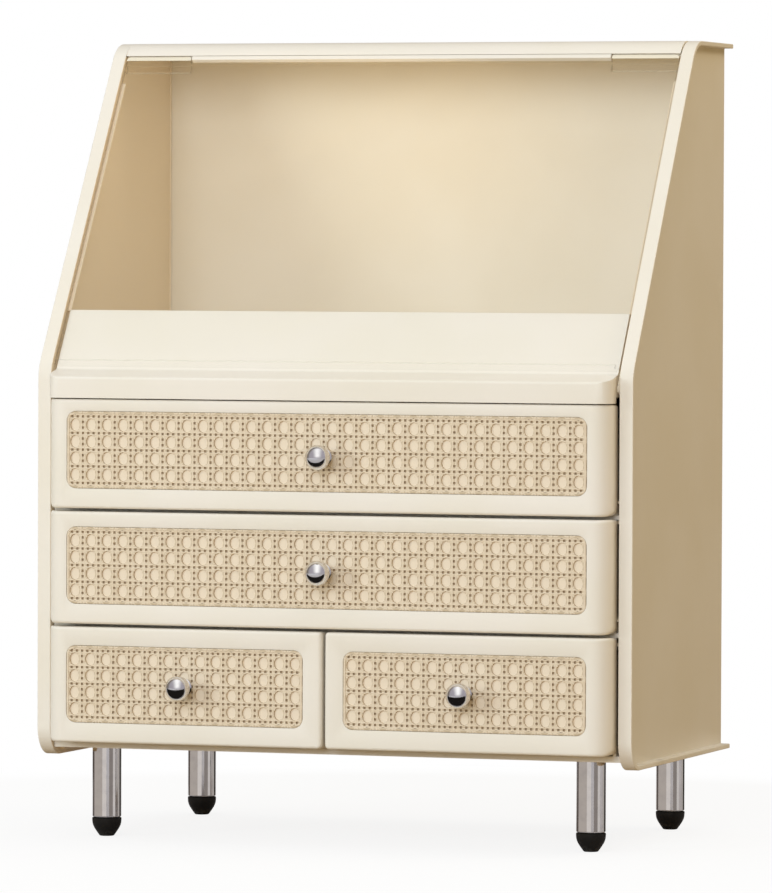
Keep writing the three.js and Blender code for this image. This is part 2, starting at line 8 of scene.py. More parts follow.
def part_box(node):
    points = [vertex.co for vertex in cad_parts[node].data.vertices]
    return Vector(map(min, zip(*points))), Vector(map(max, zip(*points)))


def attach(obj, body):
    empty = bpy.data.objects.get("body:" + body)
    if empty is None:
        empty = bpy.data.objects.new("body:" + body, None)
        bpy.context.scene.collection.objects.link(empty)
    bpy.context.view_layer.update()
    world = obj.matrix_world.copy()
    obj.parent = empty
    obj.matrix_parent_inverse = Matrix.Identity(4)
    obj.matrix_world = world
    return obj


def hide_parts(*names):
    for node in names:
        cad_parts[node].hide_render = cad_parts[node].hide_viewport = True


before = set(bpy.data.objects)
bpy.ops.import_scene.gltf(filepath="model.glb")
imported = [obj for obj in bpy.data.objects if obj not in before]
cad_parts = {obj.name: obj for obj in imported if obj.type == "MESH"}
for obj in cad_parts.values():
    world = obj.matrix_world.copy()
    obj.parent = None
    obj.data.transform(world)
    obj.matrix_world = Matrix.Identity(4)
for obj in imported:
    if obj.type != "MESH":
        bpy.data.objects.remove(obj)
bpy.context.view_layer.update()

# Side panels: two satin cream mouldings, each a flat web with a flange round its bottom, front,
# slope and top edges. Ribs on the inner face carry the floors, the back panel and the lid.
# Each is one shell here, bent round the outline with fine arcs, and its edges are broken.
MM = 0.001
RIM_PLANE = -72.15 * MM
CASE_HALF = 150 * MM
CASE_DEPTH = 170 * MM
CASE_TOP = 387 * MM
CASE_BOTTOM = 40 * MM
KNEE = 227.5 * MM
SLOPE_RETREAT = 105 * MM
INNER_HALF = 143.3 * MM
WEB_OUTER = 145.5 * MM
FLANGE = 2.2 * MM
FOOT_ROUNDING, KNEE_ROUNDING, CROWN_ROUNDING = 14 * MM, 20 * MM, 18 * MM
SLOPE = math.atan2(CASE_TOP - KNEE, SLOPE_RETREAT)
DOWN_SLOPE = Vector((-math.cos(SLOPE), -math.sin(SLOPE)))
OUT_OF_SLOPE = Vector((-math.sin(SLOPE), math.cos(SLOPE)))
SLOPE_CORNER = Vector((RIM_PLANE + SLOPE_RETREAT, CASE_TOP))
SEAT = 0.3 * MM
RIB = 1.6 * MM
RIB_HEIGHT = 2 * MM
TOP_RIB = CASE_TOP - 4.3 * MM
TOP_RIB_LENGTH = 40 * MM
BACK_FRONT = 164.2 * MM
BACK_RIB = (167 * MM, 169.5 * MM)
BACK_RIB_FOOT = 48.9 * MM
RIDGE_HEIGHT, RIDGE_WIDTH, RIDGE_FOOT = 0.7 * MM, 0.9 * MM, 219.5 * MM
LID_REST_MM = ((22, 2.7), (156, 2.7), (156, 4.5), (22, 4.5))
TRAY_FLOOR_RISE = 2.8 * MM
TRAY_FLOOR = 2.4 * MM


def linear(red, green, blue):
    """A colour as picked from a picture, 0 to 255, in the linear scale that shaders use."""
    def channel(value):
        value /= 255
        return value / 12.92 if value <= 0.04045 else ((value + 0.055) / 1.055) ** 2.4
    return (channel(red), channel(green), channel(blue), 1.0)


class Wire:
    """A value on its way through a finish. Sums and products of wires add Math nodes."""

    def __init__(self, tree, socket=None):
        self.tree, self.socket = tree, socket

    def node(self, kind, settings=None, sockets=None, output=0):
        """Adds any node: its settings first, then the values or wires of its sockets."""
        made = self.tree.nodes.new(kind)
        for name, value in (settings or {}).items():
            setattr(made, name, value)
        for name, value in (sockets or {}).items():
            if isinstance(value, Wire):
                self.tree.links.new(value.socket, made.inputs[name])
            else:
                made.inputs[name].default_value = value
        return Wire(self.tree, made.outputs[output])

    def math(self, operation, *others):
        """A Math node on this wire and the values or wires that follow it."""
        return self.node("ShaderNodeMath", {"operation": operation}, dict(enumerate((self, *others))))

    def __add__(self, other): return self.math("ADD", other)
    def __radd__(self, other): return self.math("ADD", other)
    def __sub__(self, other): return self.math("SUBTRACT", other)
    def __mul__(self, other): return self.math("MULTIPLY", other)
    def __rmul__(self, other): return self.math("MULTIPLY", other)
    def __truediv__(self, other): return self.math("DIVIDE", other)

    def __rsub__(self, other):
        return self.node("ShaderNodeMath", {"operation": "SUBTRACT"}, {0: other, 1: self})

    def between(self, low, high):
        """0 below low, 1 above high, smooth between them."""
        return self.node("ShaderNodeMapRange", {"interpolation_type": "SMOOTHSTEP"},
                         {"Value": self, "From Min": low, "From Max": high})

    def blend(self, first, second):
        """The second colour where this wire is 1, the first where it is 0."""
        return self.node("ShaderNodeMix", {"data_type": "RGBA"}, {0: self, 6: first, 7: second}, 2)

    def noise(self, size, detail=2.0):
        """A cloudy value with patches of about this size, on a wire of coordinates."""
        return self.node("ShaderNodeTexNoise", {}, {"Vector": self, "Scale": 1 / size, "Detail": detail})

    def axis(self, number):
        """x, y or z of a wire of coordinates."""
        return self.node("ShaderNodeSeparateXYZ", {}, {"Vector": self}, number)

    def relief(self, distance, strength):
        return self.node("ShaderNodeBump", {}, {"Height": self, "Distance": distance, "Strength": strength})


def new_finish(name, **constants):
    """A finish: its material, a wire that starts in its tree, and its shader with constants set."""
    material = bpy.data.materials.new(name)
    material.use_nodes = True
    shader = next(n for n in material.node_tree.nodes if n.type == "BSDF_PRINCIPLED")
    for socket, value in constants.items():
        shader.inputs[socket.replace("_", " ").title().replace("Ior", "IOR")].default_value = value
    return material, Wire(material.node_tree), shader


def feed(shader, **wires):
    """Links wires to the shader's sockets."""
    for socket, wire in wires.items():
        wire.tree.links.new(wire.socket, shader.inputs[socket.replace("_", " ").title()])


def millimetres(wire):
    """The piece's own coordinates in millimetres, so that a pattern has its real scale."""
    place = wire.node("ShaderNodeTexCoord", {}, {}, "Object")
    return wire.node("ShaderNodeMapping", {}, {"Vector": place, "Scale": (1000, 1000, 1000)})


def cream_plastic(name, colour, deeper, inner=None):
    """Satin moulded plastic: a faint drift of colour, a soft mould skin and its gloss. Faces
    that look into the case can have an inner colour, a painted shade for the shade inside it."""
    material, start, shader = new_finish(name, specular_ior_level=0.42)
    place = millimetres(start)
    drift = place.noise(70, 3.0)
    cloud = place.noise(9)
    skin = place.noise(1.3)
    tone = drift.between(0.3, 0.7).blend(linear(*colour), linear(*deeper))
    # Faces inside the case take the inner colour, a darker and warmer painted shade.
    if inner:
        outside = place.axis(0).math("ABSOLUTE").between(INNER_HALF / MM + 0.05, INNER_HALF / MM + 0.3)
        tone = outside.blend(linear(*inner), tone)
    feed(shader,
         base_color=tone,
         roughness=0.3 + 0.1 * cloud + 0.05 * skin,
         normal=(skin + 2.5 * cloud).relief(0.12 * MM, 0.35))
    return material


CREAM = cream_plastic("cream_plastic", (238, 232, 222), (235, 229, 216))
# The side panels' inner faces are painted in shade: (236, 219, 192) stands for the shade in the case.
SIDE_CREAM_SHADED_INSIDE = cream_plastic("side_cream_shaded_inside", (238, 232, 221), (235, 228, 214), (236, 219, 192))
# The back panel's cream is a painted shade: a darker, warmer copy of the cream for the shade inside the
# case.
BACK_SHADED_CREAM = cream_plastic("back_panel_shaded_cream", (236, 227, 209), (232, 222, 202))


def rounded(corners, step=math.radians(4)):
    """Points along an outline of (a, b, radius) corners, with an arc at each radius."""
    points = []
    for i, (a, b, radius) in enumerate(corners):
        here = Vector((a, b))
        if radius <= 0:
            points.append(here)
            continue
        before = (Vector(corners[i - 1][:2]) - here).normalized()
        after = (Vector(corners[(i + 1) % len(corners)][:2]) - here).normalized()
        half = before.angle(after) / 2
        centre = here + (before + after).normalized() * (radius / math.sin(half))
        start = here + before * (radius / math.tan(half)) - centre
        sweep = math.pi - 2 * half
        if before.cross(after) > 0:
            sweep = -sweep
        steps = max(2, round(abs(sweep) / step))
        points += [centre + Matrix.Rotation(sweep * k / steps, 2) @ start for k in range(steps + 1)]
    return points


def on_slope(down, depth):
    """(y, z) of a point this far down the slope from its top corner, and this deep under it."""
    point = SLOPE_CORNER + DOWN_SLOPE * down - OUT_OF_SLOPE * depth
    return (point.x, point.y)


def side_outline(inset):
    """(y, z) points of a side panel's edge from its rear foot round to its rear top."""
    def along_slope(z):
        return (z - KNEE) / math.tan(SLOPE) + inset / math.sin(SLOPE)
    low, high, front = CASE_BOTTOM + inset, CASE_TOP - inset, inset
    knee = KNEE + (front - inset / math.sin(SLOPE)) * math.tan(SLOPE)
    points = rounded([
        (CASE_DEPTH, low, 0),
        (front, low, FOOT_ROUNDING - inset),
        (front, knee, KNEE_ROUNDING - inset),
        (along_slope(high), high, CROWN_ROUNDING - inset),
        (CASE_DEPTH, high, 0),
    ])
    return [(RIM_PLANE + y, z) for y, z in points]


def add_block(bm, xs, ys, zs):
    """A closed box between two values on each axis."""
    corners = [bm.verts.new((x, y, z)) for x in xs for y in ys for z in zs]
    for quad in ((0, 1, 3, 2), (4, 6, 7, 5), (0, 4, 5, 1), (2, 3, 7, 6), (0, 2, 6, 4), (1, 5, 7, 3)):
        bm.faces.new([corners[k] for k in quad])


def bridge(bm, first, second):
    """A band of faces between two closed rings with as many points."""
    for k in range(len(first)):
        bm.faces.new((first[k - 1], second[k - 1], second[k], first[k]))


def add_prism(bm, outline, xs):
    """A closed bar of a (y, z) outline between two values of x."""
    one_end, other_end = ([bm.verts.new((x, y, z)) for y, z in outline] for x in xs)
    bm.faces.new(one_end)
    bm.faces.new(list(reversed(other_end)))
    bridge(bm, one_end, other_end)


def finished_piece(name, source, finish, body, nodes, edge=0.0, segments=2, angle=30):
    """Makes an object of a mesh or bmesh, breaks its edges, and hands it to its body."""
    if isinstance(source, bmesh.types.BMesh):
        bmesh.ops.recalc_face_normals(source, faces=source.faces)
        mesh = bpy.data.meshes.new(name)
        source.to_mesh(mesh)
        source.free()
    else:
        mesh = source
    mesh.materials.clear()
    mesh.materials.append(finish)
    mesh.shade_smooth()
    mesh.set_sharp_from_angle(angle=math.radians(angle))
    piece = bpy.data.objects.new(name, mesh)
    bpy.context.scene.collection.objects.link(piece)
    if edge:
        bevel = piece.modifiers.new("broken_edges", "BEVEL")
        bevel.width, bevel.segments = edge, segments
        bevel.limit_method, bevel.angle_limit = "ANGLE", math.radians(angle)
        bevel.use_clamp_overlap = True
        bevel.harden_normals = True
    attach(piece, body)
    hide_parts(*nodes)


CARRIED = {"base_panel": 14 * MM, "lower_shelf": 4 * MM, "upper_shelf": 4 * MM, "compartment_tray": 10 * MM}


def carried_levels():
    """Underside, top and front setback of the floors that lie between pairs of ribs."""
    levels = []
    for node, setback in CARRIED.items():
        low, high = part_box(node)
        if node == "compartment_tray":
            low = (low[0], low[1], low[2] + TRAY_FLOOR_RISE)
            high = (high[0], high[1], low[2] + TRAY_FLOOR)
        levels.append((low[2], high[2], setback))
    return levels


for side, name in ((-1, "left_side_panel"), (1, "right_side_panel")):
    bm = bmesh.new()
    rows = [[bm.verts.new((side * x, y, z)) for y, z in side_outline(inset)]
            for x, inset in ((INNER_HALF, 0), (CASE_HALF, 0), (CASE_HALF, FLANGE), (WEB_OUTER, FLANGE))]
    for k in range(len(rows[0]) - 1):
        for first, second in zip(rows, rows[1:]):
            bm.faces.new((first[k], second[k], second[k + 1], first[k + 1]))
    bm.faces.new(rows[0])
    bm.faces.new(rows[3])
    bm.faces.new([row[0] for row in rows] + [row[-1] for row in reversed(rows)])
    rib_x = (side * (INNER_HALF - RIB_HEIGHT), side * (INNER_HALF + SEAT))
    ribs = [((front, BACK_FRONT), span) for low, high, front in carried_levels()
            for span in ((low - SEAT - RIB, low - SEAT), (high + SEAT, high + SEAT + RIB))]
    ribs += [(BACK_RIB, (BACK_RIB_FOOT, TOP_RIB + RIB)),
             ((BACK_FRONT - TOP_RIB_LENGTH, BACK_FRONT), (TOP_RIB, TOP_RIB + RIB))]
    for ys, zs in ribs:
        add_block(bm, rib_x, [RIM_PLANE + y for y in ys], zs)
    back_face = RIM_PLANE + BACK_FRONT
    add_block(bm, (side * (INNER_HALF - RIDGE_HEIGHT), side * (INNER_HALF + SEAT)),
              (back_face - RIDGE_WIDTH, back_face - 0.02 * MM), (RIDGE_FOOT, TOP_RIB - 0.5 * MM))
    add_prism(bm, [on_slope(down * MM, depth * MM) for down, depth in LID_REST_MM], rib_x)
    finished_piece(name, bm, SIDE_CREAM_SHADED_INSIDE, "case", [name], 0.7 * MM, 3)

# Back and base panels, shelves, partition and compartment tray: cream mouldings that drop between
# the side panels' ribs. They keep the solids' shapes, merged to whole faces, with broken edges.


def merged_mesh(node, name):
    """A copy of a solid's mesh, merged and cleaned of the cuts inside its flat faces."""
    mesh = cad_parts[node].data.copy()
    mesh.name = name
    bm = bmesh.new()
    bm.from_mesh(mesh)
    bmesh.ops.remove_doubles(bm, verts=bm.verts, dist=0.002 * MM)
    bmesh.ops.dissolve_limit(bm, angle_limit=math.radians(0.8), verts=bm.verts, edges=bm.edges)
    bm.to_mesh(mesh)
    bm.free()
    return mesh


for node, edge, cream in (("back_panel", 0.12, BACK_SHADED_CREAM), ("base_panel", 0.4, CREAM),
                          ("lower_shelf", 0.4, CREAM), ("upper_shelf", 0.4, CREAM),
                          ("drawer_partition", 0.4, CREAM), ("compartment_tray", 0.45, CREAM)):
    finished_piece(f"{node}_moulding", merged_mesh(node, f"{node}_moulding"), cream,
                   "case", [node], edge * MM)

# Top panel: a flat cream moulding whose front edge rolls over into a lip on the slope. A fine
# groove runs along the lip, and a notch at each end of it takes a hinge tab of the lid.
TOP_THICKNESS = 2.4 * MM
PANEL_HALF = 143 * MM
LIP_REACH, NOTCHED_REACH = 10 * MM, 7.1 * MM
LIP_ROUNDING = 14 * MM
NOTCH_INNER = 108.1 * MM
GROOVE_MM = ((7.85, 0), (7.8, 1.5), (7.25, 1.5), (7.2, 0))


def lip_profile(end, grooved):
    """(y, z) points of the top panel's section, from the end of its lip round to its rear edge."""
    under = CASE_TOP - TOP_THICKNESS
    inner_y = SLOPE_CORNER.x + (under - CASE_TOP) / math.tan(SLOPE) + TOP_THICKNESS / math.sin(SLOPE)
    outer = rounded([on_slope(end, 0) + (0,), (SLOPE_CORNER.x, CASE_TOP, LIP_ROUNDING),
                     (RIM_PLANE + CASE_DEPTH, CASE_TOP, 0)])
    inner = rounded([(RIM_PLANE + CASE_DEPTH, under, 0), (inner_y, under, LIP_ROUNDING - TOP_THICKNESS),
                     on_slope(end, TOP_THICKNESS) + (0,)])
    if grooved:
        outer[1:1] = [on_slope(down * MM, depth * MM) for down, depth in GROOVE_MM]
    return [tuple(p) for p in outer + inner]


bm = bmesh.new()
add_prism(bm, lip_profile(LIP_REACH, True), (-NOTCH_INNER, NOTCH_INNER))
for side in (-1, 1):
    add_prism(bm, lip_profile(NOTCHED_REACH, False), (side * NOTCH_INNER, side * PANEL_HALF))
finished_piece("top_panel_moulding", bm, CREAM, "case", ["top_panel"], 0.15 * MM)

# Drawers: each has an open moulded box with rounded corners, glued to the pad of its front.
# The boxes keep the shape of the solids, with the rims of their walls rounded over.
DRAWERS = {"top_drawer": (True, True), "middle_drawer": (True, True),
           "left_drawer": (True, False), "right_drawer": (False, True)}

for drawer in DRAWERS:
    finished_piece(f"{drawer}_tub", merged_mesh(f"{drawer}_box", f"{drawer}_tub"), CREAM,
                   drawer, [f"{drawer}_box"], 0.5 * MM)

# Drawer fronts: hollow satin caps with softly rounded ends where they meet the side panels,
# crisp ends in the middle, and a shallow pocket that takes the cane panel.
# Each is lofted from its rim over the rounded face to the pocket, then back through its hollow.
FRONT_FACE = RIM_PLANE - 11 * MM
FRONT_REAR = RIM_PLANE + 3 * MM
EDGE_ROUNDING = 1.5 * MM
OUTER_END, MIDDLE_END = 9 * MM, 2 * MM
OUTER_FOOT, MIDDLE_FOOT = 3.5 * MM, 2 * MM
FRONT_WALL = 2.4 * MM
POCKET_DEPTH = 1.6 * MM
POCKET_CORNER = 4.85 * MM
POCKET_PLAY = 0.12 * MM
POCKET_LIP_MM = ((0.25, 0), (0.06, 0.08), (0, 0.3))


def ring_points(left, right, low, high, radii, reach=9 * MM, across=14, upward=6, arc=6, dense=8):
    """(x, z) points round a rectangle. radii are of its lower left, lower right, upper right and
    upper left corner. Within reach of its ends, the long edges get a denser row of points."""
    def spread(start, stop, count):
        return [start + (stop - start) * k / count for k in range(1, count)]

    def corner(cx, cz, radius, first):
        return [(cx + radius * math.cos(a), cz + radius * math.sin(a))
                for a in (math.radians(first + 90 * k / arc) for k in range(arc + 1))]

    def long_edge(start, stop, r0, r1, z):
        way = 1 if stop > start else -1
        a, b = start + way * reach, stop - way * reach
        places = spread(start + way * r0, a, dense) + [a] + spread(a, b, across)
        places += [b] + spread(b, stop - way * r1, dense)
        return [(x, z) for x in places]

    ll, lr, ur, ul = radii
    points = corner(left + ll, low + ll, ll, 180)
    points += long_edge(left, right, ll, lr, low)
    points += corner(right - lr, low + lr, lr, 270)
    points += [(right, z) for z in spread(low + lr, high - ur, upward)]
    points += corner(right - ur, high - ur, ur, 0)
    points += long_edge(right, left, ur, ul, high)
    points += corner(left + ul, high - ul, ul, 90)
    points += [(left, z) for z in spread(high - ul, low + ll, upward)]
    return points


def quarter_round(distance, radius):
    """How far a rounded edge has fallen at a distance in from it."""
    if distance >= radius:
        return 0.0
    return radius - math.sqrt(max(0.0, radius ** 2 - (radius - distance) ** 2))


def drawer_front(drawer, outer):
    low_corner, high_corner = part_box(f"{drawer}_front")
    left, right, low, high = low_corner[0], high_corner[0], low_corner[2], high_corner[2]
    pocket_low, pocket_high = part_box(f"{drawer}_cane_panel")
    round_left, round_right = (OUTER_END if is_outer else MIDDLE_END for is_outer in outer)
    feet = [OUTER_FOOT if is_outer else MIDDLE_FOOT for is_outer in outer]
    tops = [EDGE_ROUNDING, EDGE_ROUNDING]
    rim = ring_points(left, right, low, high, feet + tops)

    def corner_rise(x, radii):
        """How far the rim has turned in from its long edge, near its left or right corner."""
        return max(quarter_round(x - left, radii[0]), quarter_round(right - x, radii[1]))

    def face(x, z):
        """A point on the rounded face: it falls back towards the ends and the long edges."""
        bottom, top = low + corner_rise(x, feet), high - corner_rise(x, tops)
        fall = max(quarter_round(x - left, round_left), quarter_round(right - x, round_right))
        fall += max(quarter_round(z - bottom, EDGE_ROUNDING), quarter_round(top - z, EDGE_ROUNDING))
        return (x, min(FRONT_FACE + fall, FRONT_REAR - 0.5 * MM), z)

    bm = bmesh.new()

    def loop(points, depth=None):
        return [bm.verts.new((x, depth, z) if depth is not None else face(x, z)) for x, z in points]

    def drawn_in(turn):
        """The rim's points, moved in as far as the rounding has turned."""
        gain = 1 - math.cos(turn)
        middle_x, middle_z = (left + right) / 2, (low + high) / 2
        moved = []
        for x, z in rim:
            reach = (round_left if x < middle_x else round_right) * gain
            x_scale = 1 - reach / ((right - left) / 2)
            z_scale = 1 - EDGE_ROUNDING * gain / ((high - low) / 2)
            moved.append((middle_x + (x - middle_x) * x_scale, middle_z + (z - middle_z) * z_scale))
        return moved

    def pocket_ring(grow, depth):
        wider = grow + POCKET_PLAY
        points = ring_points(pocket_low[0] - wider, pocket_high[0] + wider, pocket_low[2] - wider,
                             pocket_high[2] + wider, (POCKET_CORNER + grow,) * 4)
        return loop(points, FRONT_FACE + depth)

    rings = [loop(rim, FRONT_REAR - 0.4 * MM)]
    rings += [loop(drawn_in(math.radians(10 * k))) for k in range(10)]
    rings += [pocket_ring(grow * MM, depth * MM) for grow, depth in POCKET_LIP_MM]
    rings.append(pocket_ring(0, POCKET_DEPTH))
    inner = ring_points(left + FRONT_WALL, right - FRONT_WALL, low + FRONT_WALL, high - FRONT_WALL,
                        (EDGE_ROUNDING,) * 4)
    rear = [rings[0], loop(rim, FRONT_REAR), loop(inner, FRONT_REAR),
            loop(inner, FRONT_FACE + POCKET_DEPTH + FRONT_WALL)]
    for course in (rings, rear):
        for first, second in zip(course, course[1:]):
            bridge(bm, first, second)
        bm.faces.new(course[-1])
    finished_piece(f"{drawer}_cap", bm, CREAM, drawer, [f"{drawer}_front"], angle=40)


for drawer, outer in DRAWERS.items():
    drawer_front(drawer, outer)

# Cane panels: thin plates moulded in the traditional six-way cane weave, in a darker matte
# cream, each pressed into the pocket of its front, with a narrow plain border.
# One cell of the weave is drawn, and Geometry Nodes lay it in columns and rows.
PITCH_ACROSS, PITCH_UP = 8.1 * MM, 8.0 * MM
WEAVE_ROWS = 5
WEAVE_DEPTH = 0.3 * MM
EYE_HALF = (2.45 * MM, 3.1 * MM)
EYE_DEPTH = 0.85 * MM
EYE_TAPER = 0.2 * MM
DOT_SHARES = ((0, 0), (-1 / 3, 0), (1 / 3, 0), (0, -1 / 3), (0, 1 / 3))
DOT_HALF, DOT_FLOOR_HALF = 0.6 * MM, 0.4 * MM
DOT_DEPTH = 0.5 * MM
FIELD_INSET, FIELD_ROUNDING = 1.15 * MM, 3.3 * MM
CANE_BORDER_MM = ((0, 1.3, 4.5), (0, 0.35, 4.5), (0.1, 0.1, 4.4), (0.35, 0, 4.15), (0.9, 0, 3.6),
                  (1.2, 0.12, 3.3), (1.3, 0.3, 3.2), (1.3, 1.1, 3.2))


def cane_finish():
    """Matte moulded cane: beige strands and paler eye floors, with painted shade in the grooves between the
    strands, on the eye walls and in the small openings.
    """
    material, start, shader = new_finish("moulded_cane", specular_ior_level=0.3)
    place = millimetres(start)
    weave = start.node("ShaderNodeUVMap", {"uv_map": "weave"})
    across, upward = (((weave.axis(k) + 0.5).math("FRACT") - 0.5).math("ABSOLUTE") * (pitch / MM)
                      for k, pitch in enumerate((PITCH_ACROSS, PITCH_UP)))
    depth = place.axis(1) - FRONT_FACE / MM
    sunk = depth.between(0.33, 0.55)
    floor_level = (WEAVE_DEPTH + EYE_DEPTH) / MM
    eye_wall_shade = 1 - depth.between(floor_level - 0.35, floor_level - 0.13)
    eye_x = (PITCH_ACROSS / MM / 2 - across) / (EYE_HALF[0] / MM)
    eye_z = (PITCH_UP / MM / 2 - upward) / (EYE_HALF[1] / MM)
    eye = 1 - (eye_x * eye_x + eye_z * eye_z).between(1.05, 1.3)

    def strand(offset, half):
        """Height of a round strand at a distance from its middle line."""
        t = offset / half
        return (1 - t * t).math("MAXIMUM", 0.0)

    upright = strand(across - 0.78, 0.8)
    crosswise = strand(upward - 0.86, 0.86)
    slanting = strand(across * 0.72 - upward * 0.69, 0.6)
    height = upright.math("MAXIMUM", crosswise).math("MAXIMUM", slanting * 0.9)
    blotch = place.noise(14, 3.0)
    fibre = place.noise(0.5)
    strands = (0.55 * blotch + 0.45 * fibre).between(0.3, 0.7).blend(
        linear(231, 216, 193), linear(223, 206, 180))
    # Where the strands dip between each other, the colour darkens to a painted shade for the shade in the
    # grooves.
    strands = (1 - height).between(0.2, 1.0).blend(strands, linear(204, 186, 158))
    # Eye floors keep their pale cream. The browns on the eye walls and in the small openings are painted
    # shade.
    floors_and_shade = eye.blend(linear(164, 142, 115), eye_wall_shade.blend(linear(237, 223, 201), linear(183, 161, 132)))
    feed(shader,
         base_color=sunk.blend(strands, floors_and_shade),
         roughness=0.55 + 0.1 * fibre,
         normal=(height * (1 - sunk) + 0.15 * fibre).relief(2.2 * MM, 0.3))
    return material


CANE = cane_finish()


def cane_cell(pitch_x, pitch_z):
    """One crossing of the weave: flat strands with a quarter of an eye at each corner, and the
    five small openings round the crossing. x across, z up, depth along +y."""
    bm = bmesh.new()
    half_x, half_z = pitch_x / 2, pitch_z / 2
    outline, corners = [], []
    for sx, sz, first in ((1, -1, 180), (1, 1, 270), (-1, 1, 0), (-1, -1, 90)):
        arc_top, arc_floor = [], []
        for k in range(4):
            a = math.radians(first - 30 * k)
            bend = Vector((math.cos(a), math.sin(a)))
            top = (sx * half_x + EYE_HALF[0] * bend.x, sz * half_z + EYE_HALF[1] * bend.y)
            low = (sx * half_x + (EYE_HALF[0] - EYE_TAPER) * bend.x,
                   sz * half_z + (EYE_HALF[1] - EYE_TAPER) * bend.y)
            arc_top.append(bm.verts.new((top[0], 0, top[1])))
            arc_floor.append(bm.verts.new((low[0], EYE_DEPTH, low[1])))
        outline += arc_top
        corners.append((sx, sz, arc_top, arc_floor))
    edges = [bm.edges.new((outline[k - 1], outline[k])) for k in range(len(outline))]
    for share_x, share_z in DOT_SHARES:
        x, z = share_x * pitch_x, share_z * pitch_z
        top, low = ([bm.verts.new((x + half * a, depth, z + half * b))
                     for a, b in ((-1, -1), (1, -1), (1, 1), (-1, 1))]
                    for half, depth in ((DOT_HALF, 0), (DOT_FLOOR_HALF, DOT_DEPTH)))
        bridge(bm, top, low)
        bm.faces.new(low)
        edges += [bm.edges.get((top[k - 1], top[k])) for k in range(4)]
    bmesh.ops.triangle_fill(bm, use_beauty=True, use_dissolve=False, edges=edges)
    for sx, sz, arc_top, arc_floor in corners:
        for k in range(3):
            bm.faces.new((arc_top[k], arc_top[k + 1], arc_floor[k + 1], arc_floor[k]))
        middle = bm.verts.new((sx * half_x, EYE_DEPTH - 0.12 * MM, sz * half_z))
        for k in range(3):
            bm.faces.new((arc_floor[k], arc_floor[k + 1], middle))
    mesh = bpy.data.meshes.new("cane_cell")
    bm.to_mesh(mesh)
    bm.free()
    cell = bpy.data.objects.new("cane_cell", mesh)
    bpy.context.scene.collection.objects.link(cell)
    return cell


def nodes_tree(name, inputs):
    """An empty Geometry Nodes tree with named inputs: its group input and output, and a maker
    of nodes that takes settings first and then the values or links of sockets."""
    tree = bpy.data.node_groups.new(name, "GeometryNodeTree")
    tree.interface.new_socket("Geometry", in_out="INPUT", socket_type="NodeSocketGeometry")
    tree.interface.new_socket("Geometry", in_out="OUTPUT", socket_type="NodeSocketGeometry")
    for label, kind in inputs.items():
        tree.interface.new_socket(label, in_out="INPUT", socket_type=kind)
    group_in = tree.nodes.new("NodeGroupInput")
    group_out = tree.nodes.new("NodeGroupOutput")

    def add(kind, settings=None, sockets=None):
        made = tree.nodes.new(kind)
        for label, value in (settings or {}).items():
            setattr(made, label, value)
        for label, value in (sockets or {}).items():
            if isinstance(value, bpy.types.NodeSocket):
                tree.links.new(value, made.inputs[label])
            else:
                made.inputs[label].default_value = value
        return made.outputs

    def end(geometry, finish):
        real = add("GeometryNodeRealizeInstances", {}, {"Geometry": geometry})
        joined = add("GeometryNodeMergeByDistance", {}, {"Geometry": real[0], "Distance": 0.005 * MM})
        made = add("GeometryNodeSetMaterial", {}, {"Geometry": joined[0], "Material": finish})
        tree.links.new(made[0], group_out.inputs[0])

    return tree, group_in.outputs, add, end


def evaluated_mesh(name, tree, values, host_mesh=None):
    """The plain mesh that a tree makes with these input values."""
    host = bpy.data.objects.new(f"{name}_maker", host_mesh or bpy.data.meshes.new(f"{name}_maker"))
    bpy.context.scene.collection.objects.link(host)
    modifier = host.modifiers.new("maker", "NODES")
    modifier.node_group = tree
    for item in tree.interface.items_tree:
        if item.in_out == "INPUT" and item.name in values:
            modifier[item.identifier] = values[item.name]
    graph = bpy.context.evaluated_depsgraph_get()
    mesh = bpy.data.meshes.new_from_object(host.evaluated_get(graph))
    mesh.name = name
    host.modifiers.remove(modifier)
    bpy.data.objects.remove(host)
    return mesh


WEAVE_TREE, given, add, end = nodes_tree("cane_weave", {
    "Cell": "NodeSocketObject", "Columns": "NodeSocketInt", "Rows": "NodeSocketInt",
    "Pitch Across": "NodeSocketFloat", "Pitch Up": "NodeSocketFloat",
    "Middle": "NodeSocketVector", "Finish": "NodeSocketMaterial",
})
width = add("ShaderNodeMath", {"operation": "MULTIPLY"}, {
    0: add("ShaderNodeMath", {"operation": "SUBTRACT"}, {0: given["Columns"], 1: 1.0})[0],
    1: given["Pitch Across"]})
height = add("ShaderNodeMath", {"operation": "MULTIPLY"}, {
    0: add("ShaderNodeMath", {"operation": "SUBTRACT"}, {0: given["Rows"], 1: 1.0})[0],
    1: given["Pitch Up"]})
grid = add("GeometryNodeMeshGrid", {}, {
    "Size X": width[0], "Size Y": height[0], "Vertices X": given["Columns"], "Vertices Y": given["Rows"]})
upright = add("GeometryNodeTransform", {}, {
    "Geometry": grid[0], "Rotation": (math.pi / 2, 0, 0), "Translation": given["Middle"]})
cell_shape = add("GeometryNodeObjectInfo", {}, {"Object": given["Cell"]})["Geometry"]
laid = add("GeometryNodeInstanceOnPoints", {}, {"Points": upright[0], "Instance": cell_shape})
end(laid[0], given["Finish"])


